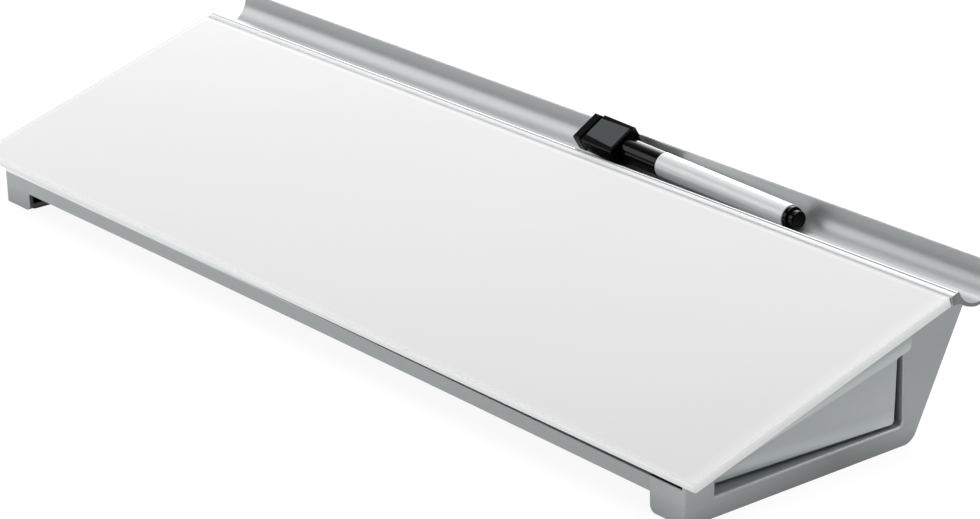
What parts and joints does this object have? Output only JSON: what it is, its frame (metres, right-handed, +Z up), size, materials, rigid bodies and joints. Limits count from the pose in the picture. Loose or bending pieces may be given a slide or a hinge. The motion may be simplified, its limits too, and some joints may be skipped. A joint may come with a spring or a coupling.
{
  "type": "desktop glass whiteboard easel with drawer",
  "caption": "Low sloping glass whiteboard for a desk, on a wedge base with a pen channel behind the board, an end drawer and a capped dry marker.",
  "frame": {"origin": "middle of the bounding box in plan, on the desk under the rubber pads", "axes": "+X along the length towards the drawer end, +Y from the writer to the rear pen channel, +Z up"},
  "size_m": [0.4584, 0.1416, 0.0676],
  "materials": {
    "writing_glass": "back-painted white glass, polished, opaque",
    "backing_steel": "bare sheet",
    "bond_tape": "foam tape",
    "tray_satin_silver": "satin silver",
    "base_silver": "satin silver-grey paint on plastic",
    "drawer_silver": "satin silver-grey",
    "inner_grey": "moulded grey",
    "deck_black": "moulded black",
    "screw_steel": "zinc plated",
    "pad_rubber": "matte",
    "barrel_white": "glossy white",
    "marker_black": "satin to glossy black",
    "nib_black": "fibre nib, inked",
    "reservoir_fibre": "bonded fibre",
    "eraser_felt": "dark grey felt",
    "magnet_grey": "sintered magnet"
  },
  "bodies": {
    "base": {"glass_panel": "writing_glass", "steel_backing": "backing_steel", "bond_tape": "bond_tape", "pen_tray": "tray_satin_silver", "end_frame_right": "base_silver", "end_frame_left": "base_silver", "front_rail": "base_silver", "floor_panel": "inner_grey", "rear_panel": "base_silver", "top_deck": "deck_black", "deck_screws": "screw_steel", "tray_screws": "screw_steel", "drawer_guide_front": "inner_grey", "drawer_guide_rear": "inner_grey", "drawer_stop": "inner_grey", "foot_pad_front_left": "pad_rubber", "foot_pad_front_right": "pad_rubber", "foot_pad_rear_left": "pad_rubber", "foot_pad_rear_right": "pad_rubber"},
    "drawer": {"drawer_box": "drawer_silver", "drawer_divider": "drawer_silver", "drawer_front": "drawer_silver", "drawer_front_screws": "screw_steel"},
    "marker": {"marker_barrel": "barrel_white", "marker_end_plug": "marker_black", "marker_section": "marker_black", "marker_nib": "nib_black", "ink_reservoir": "reservoir_fibre"},
    "cap": {"marker_cap": "marker_black", "cap_eraser": "eraser_felt", "cap_magnet": "magnet_grey"}
  },
  "joints": [
    {"name": "drawer_slide", "type": "slide", "parent": "base", "child": "drawer", "axis": [1, 0, 0], "range_m": [0, 0.21]},
    {"name": "marker_lift", "type": "slide", "parent": "base", "child": "marker", "axis": [0, 0, 1], "range_m": [0, 0.06]},
    {"name": "cap_pull", "type": "slide", "parent": "marker", "child": "cap", "axis": [-0.9996, 0.0051, 0.0293], "range_m": [0, 0.025]}
  ]
}
